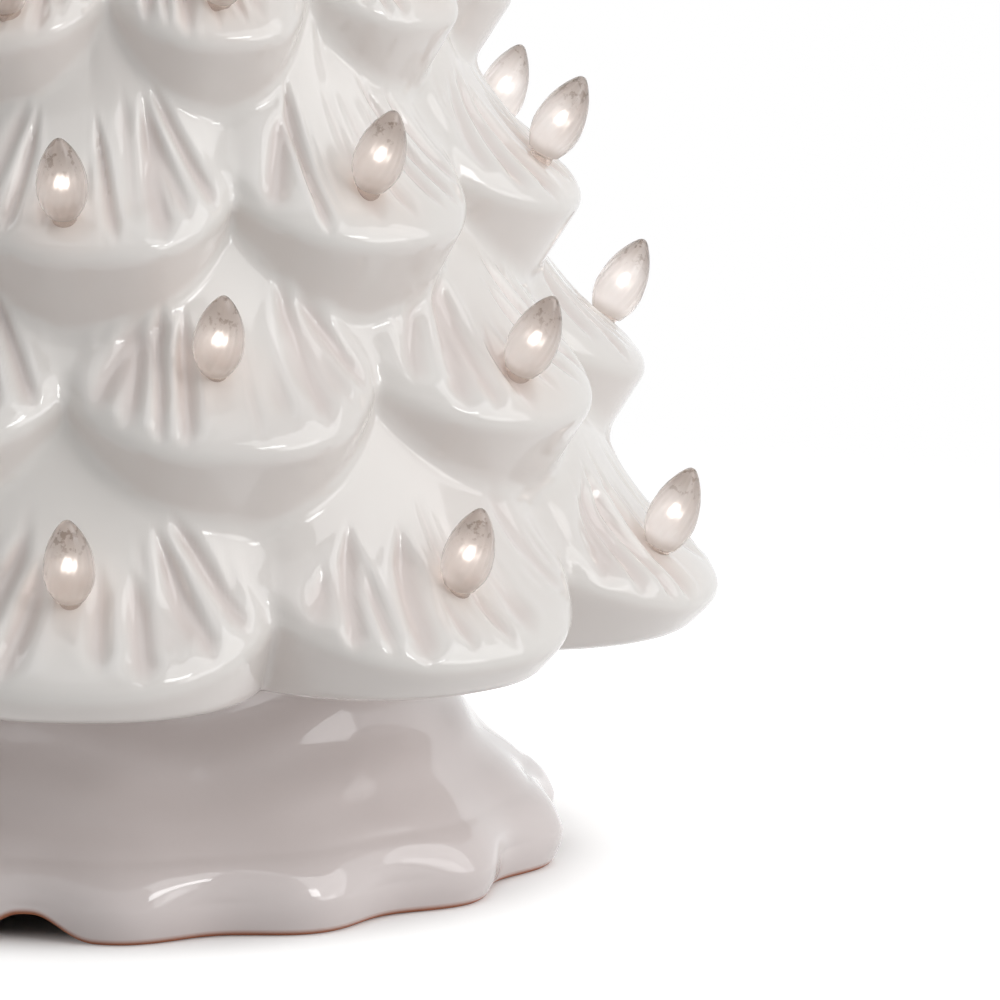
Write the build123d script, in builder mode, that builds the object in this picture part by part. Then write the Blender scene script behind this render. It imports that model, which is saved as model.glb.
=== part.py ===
# Ceramic Christmas tree on a scalloped base, lit from inside by a battery light unit.
# Lengths in millimetres, +Z up, the front faces -Y, the foot stands on z = 0 around the Z axis.
# A turn is an angle in degrees from the front (-Y) towards +X.
import math
import os

from build123d import *

os.makedirs("parts", exist_ok=True)

# Shared clearances
overrun = 4.0
slip_clearance = 0.25
peg_clearance = 0.15

# Tree shell
seat_height = 48.0
tree_height = 296.0
skirt_radius = 117.0
tree_wall = 6.0
tree_floor = 6.0
cap_height = 24.0
spire_radius = 7.0
spire_taper = 0.14
nose_radius_shares = (1.0, 0.87, 0.773, 0.645, 0.545, 0.44, 0.338, 0.241, 0.149)
nose_height_shares = (0.028, 0.165, 0.285, 0.41, 0.535, 0.65, 0.756, 0.852, 0.932)
branch_counts = (9, 9, 9, 10, 8, 7, 5, 4, 4)
first_turns = (-4.0, 13.5, -3.5, 16.5, 2.0, 20.0, -10.0, 30.0, -15.0)
scallop_depth = 17.0
scallop_fade = 30.0
lip_rise = 9.0
droop_power = 2.5
nose_round = 10.0
crease_round = 4.0
flare_height = 9.0
flare_slope = 1.5
upper_slope = 0.5
under_slope = 0.65
skirt_under_shares = (1.0, 1.6, 1.5, 1.2, 1.0, 1.4, 1.1, 1.3, 1.0)
outer_points = 72
outer_sections = 66
inner_points = 60
inner_sections = 40

# Bulbs
bulb_radius = 4.75
bulb_height = 15.9
bulb_neck_radius = 3.1
bulb_lift = 1.7
bulb_leans = (23.0, 28.0, 28.0, 27.0, 27.0, 26.0, 26.0, 25.0)
peg_radius = 2.3
peg_length = 9.5
peg_hole_depth = 17.0
bulb_radius_shares = (0.92, 1.0, 0.86, 0.5)
bulb_height_shares = (0.14, 0.34, 0.6, 0.85)
bulb_rises = (10.0, 9.0, 7.5, 6.0, 8.5, 7.5, 7.0, 6.0)
bulb_rise_shares = (
    (1.25, 1.05, 0.8, 0.9, 1.0, 0.95, 1.1, 1.0, 0.95),
    (1.25, 0.65, 0.4, 0.8, 0.9, 1.05, 0.9, 1.0, 0.75),
    (0.6, 0.9, 0.8, 0.4, 0.9, 1.0, 0.75, 0.9, 0.8),
    (0.8, 1.0, 0.9, 1.1, 1.0, 0.95, 1.0, 1.1, 0.9, 0.6),
    (1.0, 1.1, 0.9, 1.0, 1.0, 1.1, 0.95, 1.0),
    (1.0, 0.95, 1.0, 1.1, 1.0, 0.9, 1.0),
    (1.0, 1.05, 0.95, 1.0, 1.0),
    (1.0, 1.0, 1.05, 0.95),
)
bulb_wander_turns = (
    (-1.0, 0.5, -3.5, 6.0, -2.0, 1.0, 2.0, -1.0, 3.0),
    (-2.0, -1.5, 9.0, 4.0, -2.0, 1.0, 2.0, -1.0, 1.0),
    (-3.0, -2.0, 0.0, 6.0, -2.0, 1.0, 2.0, -1.0, -2.0),
    (-0.5, 1.0, 3.0, 0.0, -2.0, 1.0, 2.0, -1.0, 2.0, 3.5),
    (1.0, -2.0, 0.0, 2.0, -1.0, 0.0, 2.0, -2.0),
    (0.0, 2.0, -2.0, 1.0, 0.0, -1.0, 2.0),
    (1.0, -1.0, 0.0, 2.0, -2.0),
    (0.0, 2.0, -1.0, 1.0),
)

# Star topper
star_radius = 20.0
star_thickness = 9.0
star_inner_share = 0.46
star_ridge_share = 0.06
star_points = 5
star_foot_radius = 4.6
star_foot_height = 5.2
star_peg_radius = 2.8
star_peg_length = 12.0

# Base shell
base_neck_radius = 56.0
base_flare = 26.0
base_flare_height = 17.0
roll_height = 14.0
roll_radius = 8.0
roll_centre_radius = 76.5
roll_blend = 3.0
base_wall = 6.0
deck_thickness = 6.0
base_scallop = 2.6
base_scallop_fade = 8.0
base_scallops = 14
base_sections = 20
base_points = 84
arch_half_width = 13.0
arch_height = 5.0
arch_steps = 10
arch_valleys = (-0.5, 3.5, 6.5, 9.5)
collar_radius = 54.0
collar_wall = 5.0
collar_height = 8.0
collar_clearance = 1.0

# Light unit
housing_radius = 41.0
housing_wall = 3.5
housing_height = 41.0
housing_floor = 2.5
flange_width = 5.0
flange_thickness = 2.2
gasket_thickness = 0.8
lock_ring_width = 6.0
lock_ring_height = 4.0
lock_ring_notches = 8
dome_ledge_width = 1.7
dome_ledge_depth = 5.0
dome_wall = 1.6
dome_rise = 26.0
post_radius = 3.0
post_orbit = 33.0
post_turns = (90.0, 270.0, 0.0)
post_height = 28.0
board_thickness = 1.6
board_clearance = 0.4
screw_radius = 1.1
screw_head_radius = 2.3
screw_head_height = 1.5
screw_length = 7.0
led_radius = 2.5
led_height = 6.5
led_orbit = 17.0
led_count = 5

# Battery box
cell_radius = 7.25
cell_length = 49.2
cell_nub_radius = 2.75
cell_nub_length = 1.3
cell_pitch = 14.8
cell_count = 3
cell_clearance = 0.3
cradle_wall = 1.3
cradle_roof = 1.6
contact_thickness = 0.4
contact_width = 9.0
contact_height = 10.0
contact_gap = 0.1
spring_reach = 2.6
leaf_width = 5.0
lead_radius = 0.7
lead_bend_share = 0.3
lead_inset_share = 0.85

# Battery door
door_lap = 2.2
door_thickness = 1.4
door_gap = 0.2
barrel_radius = 1.3
barrel_length = 22.0
pin_radius = 0.7
pin_clearance = 0.1
ear_width = 2.4
ear_gap = 0.3

# Switch
switch_width = 12.0
switch_depth = 5.0
switch_height = 6.0
switch_orbit = 33.9
knob_width = 3.0
knob_depth = 2.6
knob_reach = 2.4
knob_travel = 2.0
knob_grip = 1.4


# Blends of two radii with a rounded meeting line

def smaller_of(first, second, blend):
    share = max(blend - abs(first - second), 0) / blend
    return min(first, second) - share * share * blend / 4


def larger_of(first, second, blend):
    return -smaller_of(-first, -second, blend)


# One branch at a share of its half pitch from its middle line, at a height

def branch_radius(tier, branch, across_share, height):
    size_share = math.sqrt(nose_radius_shares[tier])
    droop = abs(across_share) ** droop_power
    nose_height = seat_height + tree_height * nose_height_shares[tier]
    above = height - nose_height - lip_rise * size_share * droop
    notch = scallop_depth * size_share * droop * math.exp(-max(above, 0) / scallop_fade)
    nose_radius = skirt_radius * nose_radius_shares[tier] + nose_round * size_share / 4 - notch
    flare = flare_slope * (flare_height * (1 - math.exp(-above / flare_height)) if above > 0 else above)
    upper = nose_radius - upper_slope * above - flare
    under_share = skirt_under_shares[branch] if tier == 0 else 1
    under = nose_radius + under_slope * under_share * above
    return smaller_of(upper, under, nose_round * size_share)


# The tree's outside: every tier of branches and the spire, blended at the creases

def tree_radius(turn, height):
    spire = spire_radius + spire_taper * (seat_height + tree_height - height)
    radius = spire
    for tier, count in enumerate(branch_counts):
        place = (turn - first_turns[tier]) * count / 360
        nearest = math.floor(place + 0.5)
        across = 2 * (place - nearest)
        side = 1 if across > 0 else -1
        crease = crease_round * math.sqrt(nose_radius_shares[tier])
        near = branch_radius(tier, nearest % count, across, height)
        far = branch_radius(tier, (nearest + side) % count, across - 2 * side, height)
        radius = larger_of(radius, larger_of(near, far, crease), crease)
    return radius


# The tree's inside, one wall in from the outside in every direction

def hollow_radius(turn, height):
    slant = tree_wall * math.sqrt(0.5)
    sideways = math.degrees(slant / tree_radius(turn, height))
    return min(
        tree_radius(turn, height) - tree_wall,
        tree_radius(turn, height + tree_wall),
        tree_radius(turn, height - tree_wall),
        tree_radius(turn, height + slant) - slant,
        tree_radius(turn, height - slant) - slant,
        tree_radius(turn + sideways, height) - slant,
        tree_radius(turn - sideways, height) - slant,
    )


# The base's outside: a rolled, scalloped foot and a flare up to the neck

def base_radius(turn, height):
    swell = base_neck_radius + base_flare * math.exp((roll_height - height) / base_flare_height)
    flare = smaller_of(swell, base_neck_radius + base_flare, base_flare / 4)
    roll_middle = roll_height / 2
    bulge = 1 - ((height - roll_middle) / roll_radius) ** 2
    roll = roll_centre_radius + roll_radius * (math.sqrt(bulge) if bulge > 0 else bulge)
    fade = math.exp(-max(height - roll_middle, 0) / base_scallop_fade)
    return larger_of(flare, roll, roll_blend) + base_scallop * fade * math.cos(math.radians(base_scallops * turn))


# A point at a turn, radius and height

def at_turn(turn, radius, height):
    angle = math.radians(turn)
    return (radius * math.sin(angle), -radius * math.cos(angle), height)


# Closed section outline of a radius rule at one height

def outline(rule, height, points):
    turns = [360 * step / points for step in range(points)]
    return [at_turn(turn, rule(turn, height), 0)[:2] for turn in turns]


# Planes that stand on the bulb seats, with Z along the bulb

def bulb_planes(tier):
    planes = []
    for branch in range(branch_counts[tier]):
        turn = first_turns[tier] + 360 * branch / branch_counts[tier] + bulb_wander_turns[tier][branch]
        rise = bulb_rises[tier] * bulb_rise_shares[tier][branch]
        height = seat_height + tree_height * nose_height_shares[tier] + rise
        lean = math.radians(bulb_leans[tier])
        along = at_turn(turn, math.sin(lean), math.cos(lean))
        side = at_turn(turn + 90, 1, 0)
        planes.append(Plane(at_turn(turn, tree_radius(turn, height), height), x_dir=side, z_dir=along))
    return planes


tree_top = seat_height + tree_height
opening_radius = collar_radius + collar_clearance
seats = [bulb_planes(tier) for tier in range(len(bulb_rises))]

# Tree shell: outside, hollow, floor opening, bulb holes and star socket
with BuildPart() as tree_hollow:
    hollow_bottom = seat_height + tree_floor
    hollow_top = tree_top - cap_height
    for section in range(inner_sections + 1):
        height = hollow_bottom + (hollow_top - hollow_bottom) * section / inner_sections
        with BuildSketch(Plane.XY.offset(height)):
            with BuildLine():
                Spline(*outline(hollow_radius, height, inner_points), periodic=True)
            make_face()
    loft(ruled=True)

with BuildPart() as tree_shell:
    for section in range(outer_sections + 1):
        height = seat_height + tree_height * section / outer_sections
        with BuildSketch(Plane.XY.offset(height)):
            with BuildLine():
                Spline(*outline(tree_radius, height, outer_points), periodic=True)
            make_face()
    loft(ruled=True)
    add(tree_hollow.part, mode=Mode.SUBTRACT, clean=False)
    with BuildSketch(Plane.XY.offset(seat_height - overrun)):
        Circle(opening_radius)
    extrude(amount=tree_floor + 2 * overrun, mode=Mode.SUBTRACT, clean=False)
    with BuildSketch(Plane.XY.offset(tree_top + overrun)):
        Circle(star_peg_radius + peg_clearance)
    extrude(amount=-overrun - star_peg_length - slip_clearance, mode=Mode.SUBTRACT, clean=False)
    with BuildSketch(*[plane.offset(overrun) for plane in sum(seats, [])]):
        Circle(peg_radius + peg_clearance)
    extrude(amount=-overrun - peg_hole_depth, mode=Mode.SUBTRACT, clean=False)
tree_shell.part.label = "tree_shell"
export_step(tree_shell.part, "parts/tree_shell.step")

# One bulb with its peg, on the seat plane
with BuildPart() as bulb:
    with BuildSketch(Plane.XZ):
        with BuildLine():
            foot = bulb_lift - peg_length
            flank = [
                (bulb_radius * radius_share, bulb_lift + bulb_height * height_share)
                for radius_share, height_share in zip(bulb_radius_shares, bulb_height_shares)
            ]
            Polyline((0, foot), (peg_radius, foot), (peg_radius, bulb_lift), (bulb_neck_radius, bulb_lift))
            Spline((bulb_neck_radius, bulb_lift), *flank, (0, bulb_lift + bulb_height))
            Line((0, bulb_lift + bulb_height), (0, foot))
        make_face()
    revolve(axis=Axis.Z)

# Bulbs, one group for each tier
for tier, planes in enumerate(seats):
    with BuildPart() as bulbs:
        with Locations(*[Location(plane) for plane in planes]):
            add(bulb.part)
    bulbs.part.label = f"bulbs_tier_{tier + 1}"
    export_step(bulbs.part, f"parts/bulbs_tier_{tier + 1}.step")

# Star topper: two faceted halves, a foot and a peg
star_height = tree_top + star_foot_height + star_radius * star_inner_share
star_outline = []
for step in range(2 * star_points):
    reach = star_radius if step % 2 == 0 else star_radius * star_inner_share
    angle = math.pi * step / star_points
    star_outline.append((reach * math.sin(angle), reach * math.cos(angle)))
star_plane = Plane((0, 0, star_height), x_dir=(1, 0, 0), z_dir=(0, -1, 0))
with BuildPart() as star_topper:
    for side in (1, -1):
        with BuildSketch(star_plane):
            Polygon(*star_outline, align=None)
        with BuildSketch(star_plane.offset(side * star_thickness / 2)):
            Polygon(*[(x * star_ridge_share, y * star_ridge_share) for x, y in star_outline], align=None)
        loft(ruled=True)
    with BuildSketch(Plane.XY.offset(tree_top)):
        Circle(star_foot_radius)
    extrude(amount=star_foot_height + star_radius * star_inner_share / 2)
    with BuildSketch(Plane.XY.offset(tree_top)):
        Circle(star_peg_radius)
    extrude(amount=-star_peg_length)
star_topper.part.label = "star_topper"
export_step(star_topper.part, "parts/star_topper.step")

# Base shell: outside, hollow, collar, deck hole and arches in the foot
deck_bottom = seat_height - deck_thickness
deck_hole_radius = housing_radius + slip_clearance
base_edge = roll_centre_radius + roll_radius + base_scallop
arch_outline = []
for step in range(arch_steps + 1):
    angle = math.pi * step / arch_steps
    arch_outline.append((arch_half_width * math.cos(angle), arch_height * math.sin(angle) ** 2))
with BuildPart() as base_hollow:
    for section in range(base_sections + 1):
        height = deck_bottom * section / base_sections
        with BuildSketch(Plane.XY.offset(height)):
            with BuildLine():
                inside = [
                    at_turn(turn, base_radius(turn, height) - base_wall, 0)[:2]
                    for turn in [360 * step / base_points for step in range(base_points)]
                ]
                Spline(*inside, periodic=True)
            make_face()
    loft(ruled=True)

with BuildPart() as base_shell:
    for section in range(base_sections + 1):
        height = seat_height * section / base_sections
        with BuildSketch(Plane.XY.offset(height)):
            with BuildLine():
                Spline(*outline(base_radius, height, base_points), periodic=True)
            make_face()
    loft(ruled=True)
    add(base_hollow.part, mode=Mode.SUBTRACT, clean=False)
    with BuildSketch(Plane.XY.offset(deck_bottom)):
        Circle(collar_radius)
    extrude(amount=deck_thickness + collar_height, clean=False)
    with BuildSketch(Plane.XY.offset(seat_height)):
        Circle(collar_radius - collar_wall)
    extrude(amount=collar_height + overrun, mode=Mode.SUBTRACT, clean=False)
    with BuildSketch(Plane.XY.offset(deck_bottom - overrun)):
        Circle(deck_hole_radius)
    extrude(amount=deck_thickness + collar_height + 2 * overrun, mode=Mode.SUBTRACT, clean=False)
    for valley in arch_valleys:
        turn = 360 * valley / base_scallops
        inner_end = at_turn(turn, base_neck_radius, 0)
        with BuildSketch(Plane(inner_end, x_dir=at_turn(turn + 90, 1, 0), z_dir=at_turn(turn, 1, 0))):
            Polygon((arch_half_width, -overrun), *arch_outline, (-arch_half_width, -overrun), align=None)
    extrude(amount=base_edge + overrun - base_neck_radius, mode=Mode.SUBTRACT, clean=False)
base_shell.part.label = "base_shell"
export_step(base_shell.part, "parts/base_shell.step")

# Light housing: cup, flange, dome ledge, posts, battery opening, switch slot and hinge ears
housing_top = seat_height + gasket_thickness + flange_thickness
housing_bottom = housing_top - housing_height
floor_top = housing_bottom + housing_floor
housing_bore = housing_radius - housing_wall
ledge_height = housing_top - dome_ledge_depth
ledge_radius = housing_bore + dome_ledge_width
post_places = [at_turn(turn, post_orbit, 0)[:2] for turn in post_turns]
cradle_half_width = cell_pitch * (cell_count - 1) / 2 + cell_radius + cell_clearance
cradle_half_length = contact_thickness + (spring_reach + cell_length + cell_nub_length) / 2
hole_half_length = cradle_half_length - 2 * contact_thickness
door_half_width = cradle_half_width + door_lap
door_half_length = hole_half_length + door_lap
door_top = housing_bottom - door_gap
hinge_y = -door_half_length - barrel_radius - ear_gap
hinge_height = door_top - barrel_radius
ear_middle = barrel_length / 2 + ear_gap + ear_width / 2
slot_width = knob_width + 2 * knob_travel + 2 * slip_clearance
slot_depth = knob_depth + 2 * slip_clearance
screw_hole_radius = screw_radius + peg_clearance
with BuildPart() as light_housing:
    with BuildSketch(Plane.XY.offset(housing_bottom)):
        Circle(housing_radius)
    extrude(amount=housing_height)
    with BuildSketch(Plane.XY.offset(housing_top)):
        Circle(housing_radius + flange_width)
    extrude(amount=-flange_thickness)
    with BuildSketch(Plane.XY.offset(floor_top)):
        Circle(housing_bore)
    extrude(amount=housing_height, mode=Mode.SUBTRACT)
    with BuildSketch(Plane.XY.offset(ledge_height)):
        Circle(ledge_radius)
    extrude(amount=housing_height, mode=Mode.SUBTRACT)
    with BuildSketch(Plane.XY.offset(floor_top)):
        with Locations(*post_places):
            Circle(post_radius)
    extrude(amount=post_height)
    with BuildSketch(Plane.XY.offset(floor_top + post_height)):
        with Locations(*post_places):
            Circle(screw_hole_radius)
    extrude(amount=-screw_length, mode=Mode.SUBTRACT)
    with BuildSketch(Plane.XY.offset(housing_bottom - overrun)):
        Rectangle(2 * cradle_half_width, 2 * hole_half_length)
        with Locations((0, switch_orbit)):
            Rectangle(slot_width, slot_depth)
    extrude(amount=housing_floor + 2 * overrun, mode=Mode.SUBTRACT)
    for side in (1, -1):
        with BuildSketch(Plane((side * ear_middle, hinge_y, hinge_height), x_dir=(0, 1, 0), z_dir=(1, 0, 0))):
            Circle(barrel_radius)
            Rectangle(2 * barrel_radius, housing_bottom - hinge_height, align=(Align.CENTER, Align.MIN))
            Circle(pin_radius + pin_clearance, mode=Mode.SUBTRACT)
        extrude(amount=ear_width / 2, both=True)
light_housing.part.label = "light_housing"
export_step(light_housing.part, "parts/light_housing.step")

# Gasket between the flange and the deck
with BuildPart() as flange_gasket:
    with BuildSketch(Plane.XY.offset(seat_height)):
        Circle(housing_radius + flange_width)
        Circle(deck_hole_radius, mode=Mode.SUBTRACT)
    extrude(amount=gasket_thickness)
flange_gasket.part.label = "flange_gasket"
export_step(flange_gasket.part, "parts/flange_gasket.step")

# Lock ring under the deck, with grip notches
with BuildPart() as housing_lock_ring:
    with BuildSketch(Plane.XY.offset(deck_bottom)):
        Circle(deck_hole_radius + lock_ring_width)
        Circle(deck_hole_radius, mode=Mode.SUBTRACT)
        with PolarLocations(deck_hole_radius + lock_ring_width, lock_ring_notches):
            Circle(lock_ring_width / 4, mode=Mode.SUBTRACT)
    extrude(amount=-lock_ring_height)
housing_lock_ring.part.label = "housing_lock_ring"
export_step(housing_lock_ring.part, "parts/housing_lock_ring.step")

# Diffuser dome standing on the ledge in the housing
dome_radius = ledge_radius - slip_clearance
with BuildPart() as diffuser_dome:
    with BuildSketch(Plane.XZ):
        with BuildLine():
            crown = housing_top + dome_rise
            dome_bore = dome_radius - dome_wall
            Polyline((dome_bore, housing_top), (dome_bore, ledge_height), (dome_radius, ledge_height))
            Line((dome_radius, ledge_height), (dome_radius, housing_top))
            Spline((dome_radius, housing_top), (0, crown), tangents=((0, 1), (-1, 0)))
            Line((0, crown), (0, crown - dome_wall))
            Spline((0, crown - dome_wall), (dome_bore, housing_top), tangents=((1, 0), (0, -1)))
        make_face()
    revolve(axis=Axis.Z)
diffuser_dome.part.label = "diffuser_dome"
export_step(diffuser_dome.part, "parts/diffuser_dome.step")

# Board on the posts, its screws and its LEDs
board_bottom = floor_top + post_height
board_top = board_bottom + board_thickness
with BuildPart() as led_board:
    with BuildSketch(Plane.XY.offset(board_bottom)):
        Circle(housing_bore - board_clearance)
        with Locations(*post_places):
            Circle(screw_hole_radius, mode=Mode.SUBTRACT)
    extrude(amount=board_thickness)
led_board.part.label = "led_board"
export_step(led_board.part, "parts/led_board.step")

with BuildPart() as board_screws:
    with BuildSketch(Plane.XY.offset(board_top)):
        with Locations(*post_places):
            Circle(screw_head_radius)
    extrude(amount=screw_head_height)
    with BuildSketch(Plane.XY.offset(board_top)):
        with Locations(*post_places):
            Circle(screw_radius)
    extrude(amount=-screw_length)
board_screws.part.label = "board_screws"
export_step(board_screws.part, "parts/board_screws.step")

with BuildPart() as led:
    Cylinder(led_radius, led_height - led_radius, align=(Align.CENTER, Align.CENTER, Align.MIN))
    with Locations((0, 0, led_height - led_radius)):
        Sphere(led_radius)
with BuildPart() as leds:
    with Locations((0, 0, board_top)):
        with PolarLocations(led_orbit, led_count):
            add(led.part)
leds.part.label = "leds"
export_step(leds.part, "parts/leds.step")

# Battery cradle: walls and roof over the cells, open downwards
cell_height = floor_top + cell_clearance + cell_radius
roof_bottom = cell_height + cell_radius + cell_clearance
roof_top = roof_bottom + cradle_roof
lead_y = cradle_half_length - contact_thickness - lead_radius / 2
lead_places = [(cell_pitch, lead_y), (-cell_pitch, -lead_y)]
with BuildPart() as battery_cradle:
    with BuildSketch(Plane.XY.offset(floor_top)):
        Rectangle(2 * (cradle_half_width + cradle_wall), 2 * (cradle_half_length + cradle_wall))
    extrude(amount=roof_top - floor_top)
    with BuildSketch(Plane.XY.offset(floor_top)):
        Rectangle(2 * cradle_half_width, 2 * cradle_half_length)
    extrude(amount=roof_bottom - floor_top, mode=Mode.SUBTRACT)
    with BuildSketch(Plane.XY.offset(roof_top)):
        with Locations(*lead_places):
            Circle(lead_radius + peg_clearance)
    extrude(amount=-cradle_roof, mode=Mode.SUBTRACT)
battery_cradle.part.label = "battery_cradle"
export_step(battery_cradle.part, "parts/battery_cradle.step")

# Cells side by side, every other one turned round
nub_face = cradle_half_length - contact_thickness
cell_places = []
for cell in range(cell_count):
    facing = 1 if cell % 2 == 0 else -1
    cell_x = cell_pitch * (cell - (cell_count - 1) / 2)
    cell_places.append((cell_x, facing))
with BuildPart() as battery_cells:
    for cell_x, facing in cell_places:
        with BuildSketch(Plane((cell_x, facing * nub_face, cell_height), x_dir=(1, 0, 0), z_dir=(0, -facing, 0))):
            Circle(cell_nub_radius)
        extrude(amount=cell_nub_length)
        shoulder = facing * (nub_face - cell_nub_length)
        with BuildSketch(Plane((cell_x, shoulder, cell_height), x_dir=(1, 0, 0), z_dir=(0, -facing, 0))):
            Circle(cell_radius)
        extrude(amount=cell_length)
battery_cells.part.label = "battery_cells"
export_step(battery_cells.part, "parts/battery_cells.step")

# Flat contacts behind the nubs and sprung contacts behind the flat ends
with BuildPart() as plate_contacts:
    for cell_x, facing in cell_places:
        end = facing * cradle_half_length
        with BuildSketch(Plane((cell_x, end, cell_height), x_dir=(1, 0, 0), z_dir=(0, -facing, 0))):
            Rectangle(contact_width, contact_height)
        extrude(amount=contact_thickness)
plate_contacts.part.label = "plate_contacts"
export_step(plate_contacts.part, "parts/plate_contacts.step")

leaf_reach = contact_thickness + spring_reach - contact_gap
leaf_inset = 2 * contact_thickness
with BuildPart() as spring_contacts:
    for cell_x, facing in cell_places:
        end = -facing * cradle_half_length
        with BuildSketch(Plane((cell_x, end, cell_height), x_dir=(0, facing, 0), z_dir=(facing, 0, 0))):
            Polygon(
                (0, -contact_height / 2),
                (contact_thickness, -contact_height / 2),
                (leaf_reach, 0),
                (contact_thickness, contact_height / 2),
                (0, contact_height / 2),
                align=None,
            )
            Polygon(
                (contact_thickness, leaf_inset - contact_height / 2),
                (leaf_reach - leaf_inset, 0),
                (contact_thickness, contact_height / 2 - leaf_inset),
                align=None,
                mode=Mode.SUBTRACT,
            )
        extrude(amount=leaf_width / 2, both=True)
spring_contacts.part.label = "spring_contacts"
export_step(spring_contacts.part, "parts/spring_contacts.step")

# Leads from the end contacts up through the cradle roof to the board
lead_bottom = cell_height + contact_height / 2
lead_bend = (board_bottom - roof_top) * lead_bend_share
for name, (lead_x, lead_end) in zip(("lead_red", "lead_black"), lead_places):
    with BuildPart() as lead:
        with BuildLine():
            route = FilletPolyline(
                (lead_x, lead_end, lead_bottom),
                (lead_x, lead_end, roof_top + lead_bend),
                (lead_x, lead_end * lead_inset_share, board_bottom - lead_bend),
                (lead_x, lead_end * lead_inset_share, board_bottom),
                radius=3 * lead_radius,
            )
        with BuildSketch(Plane.XY.offset(lead_bottom)):
            with Locations((lead_x, lead_end)):
                Circle(lead_radius)
        sweep()
    lead.part.label = name
    export_step(lead.part, f"parts/{name}.step")

# Battery door with its hinge barrel
with BuildPart() as battery_door:
    with BuildSketch(Plane.XY.offset(door_top)):
        Rectangle(2 * door_half_width, 2 * door_half_length)
    extrude(amount=-door_thickness)
    with BuildSketch(Plane.XY.offset(door_top)):
        with Locations((0, hinge_y)):
            Rectangle(barrel_length, -door_half_length - hinge_y + door_lap, align=(Align.CENTER, Align.MIN))
    extrude(amount=-door_thickness)
    with BuildSketch(Plane((0, hinge_y, hinge_height), x_dir=(0, 1, 0), z_dir=(1, 0, 0))):
        Circle(barrel_radius)
    extrude(amount=barrel_length / 2, both=True)
    with BuildSketch(Plane((0, hinge_y, hinge_height), x_dir=(0, 1, 0), z_dir=(1, 0, 0))):
        Circle(pin_radius + pin_clearance)
    extrude(amount=barrel_length / 2 + overrun, both=True, mode=Mode.SUBTRACT)
battery_door.part.label = "battery_door"
export_step(battery_door.part, "parts/battery_door.step")

with BuildPart() as door_pin:
    with BuildSketch(Plane((0, hinge_y, hinge_height), x_dir=(0, 1, 0), z_dir=(1, 0, 0))):
        Circle(pin_radius)
    extrude(amount=ear_middle + ear_width / 2, both=True)
door_pin.part.label = "door_pin"
export_step(door_pin.part, "parts/door_pin.step")

# Switch body over the slot, and its knob at one end of its travel
with BuildPart() as switch_body:
    with BuildSketch(Plane.XY.offset(floor_top)):
        with Locations((0, switch_orbit)):
            Rectangle(switch_width, switch_depth)
    extrude(amount=switch_height)
    with BuildSketch(Plane.XY.offset(floor_top)):
        with Locations((0, switch_orbit)):
            Rectangle(slot_width, slot_depth)
    extrude(amount=knob_grip + slip_clearance, mode=Mode.SUBTRACT)
switch_body.part.label = "switch_body"
export_step(switch_body.part, "parts/switch_body.step")

with BuildPart() as switch_knob:
    with BuildSketch(Plane.XY.offset(floor_top + knob_grip)):
        with Locations((-knob_travel, switch_orbit)):
            Rectangle(knob_width, knob_depth)
    extrude(amount=-knob_grip - housing_floor - knob_reach)
switch_knob.part.label = "switch_knob"
export_step(switch_knob.part, "parts/switch_knob.step")
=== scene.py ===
import bpy
import numpy as np
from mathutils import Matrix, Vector


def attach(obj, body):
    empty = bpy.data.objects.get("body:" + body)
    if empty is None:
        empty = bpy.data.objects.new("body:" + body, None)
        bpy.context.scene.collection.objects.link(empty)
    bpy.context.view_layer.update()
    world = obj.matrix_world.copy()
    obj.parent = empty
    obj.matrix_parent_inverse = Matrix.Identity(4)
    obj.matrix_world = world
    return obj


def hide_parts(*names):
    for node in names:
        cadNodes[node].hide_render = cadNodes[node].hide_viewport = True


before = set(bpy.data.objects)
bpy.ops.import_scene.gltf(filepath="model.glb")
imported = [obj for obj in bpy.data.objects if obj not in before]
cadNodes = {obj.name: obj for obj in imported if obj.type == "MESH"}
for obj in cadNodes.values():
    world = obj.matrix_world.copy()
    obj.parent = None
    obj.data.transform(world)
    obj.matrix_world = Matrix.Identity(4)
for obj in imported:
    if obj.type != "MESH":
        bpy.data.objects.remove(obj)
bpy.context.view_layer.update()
mm = 0.001
sharpAngle = np.radians(62)  # edges sharper than this stay crisp
print("frame loaded with", len(cadNodes), "nodes")


# small helpers for meshes, lengths in mm

def atTurn(turn, radius, height):  # turn in degrees from the front (-Y) towards +X
    angle = np.radians(turn)
    across, along = radius * np.sin(angle), -radius * np.cos(angle)
    return np.stack(np.broadcast_arrays(across, along, height), axis=-1)


def ease(share):  # smooth step from 0 to 1
    share = np.clip(share, 0, 1)
    return share * share * (3 - 2 * share)


def smallerOf(first, second, blend):
    share = np.maximum(blend - np.abs(first - second), 0) / blend
    return np.minimum(first, second) - share * share * blend / 4


def largerOf(first, second, blend):
    return -smallerOf(-first, -second, blend)


def softCurve(points, steps):  # smooth run through a few points, the end points only steer it
    points = np.asarray(points, float)
    share = (np.arange(steps) / steps)[:, None]
    runs = []
    for before, start, end, after in zip(points, points[1:], points[2:], points[3:]):
        bend = 2 * start + (end - before) * share
        bend = bend + (2 * before - 5 * start + 4 * end - after) * share ** 2
        runs.append((bend + (3 * start - before - 3 * end + after) * share ** 3) / 2)
    return np.vstack(runs + [points[-2:-1]])


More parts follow.
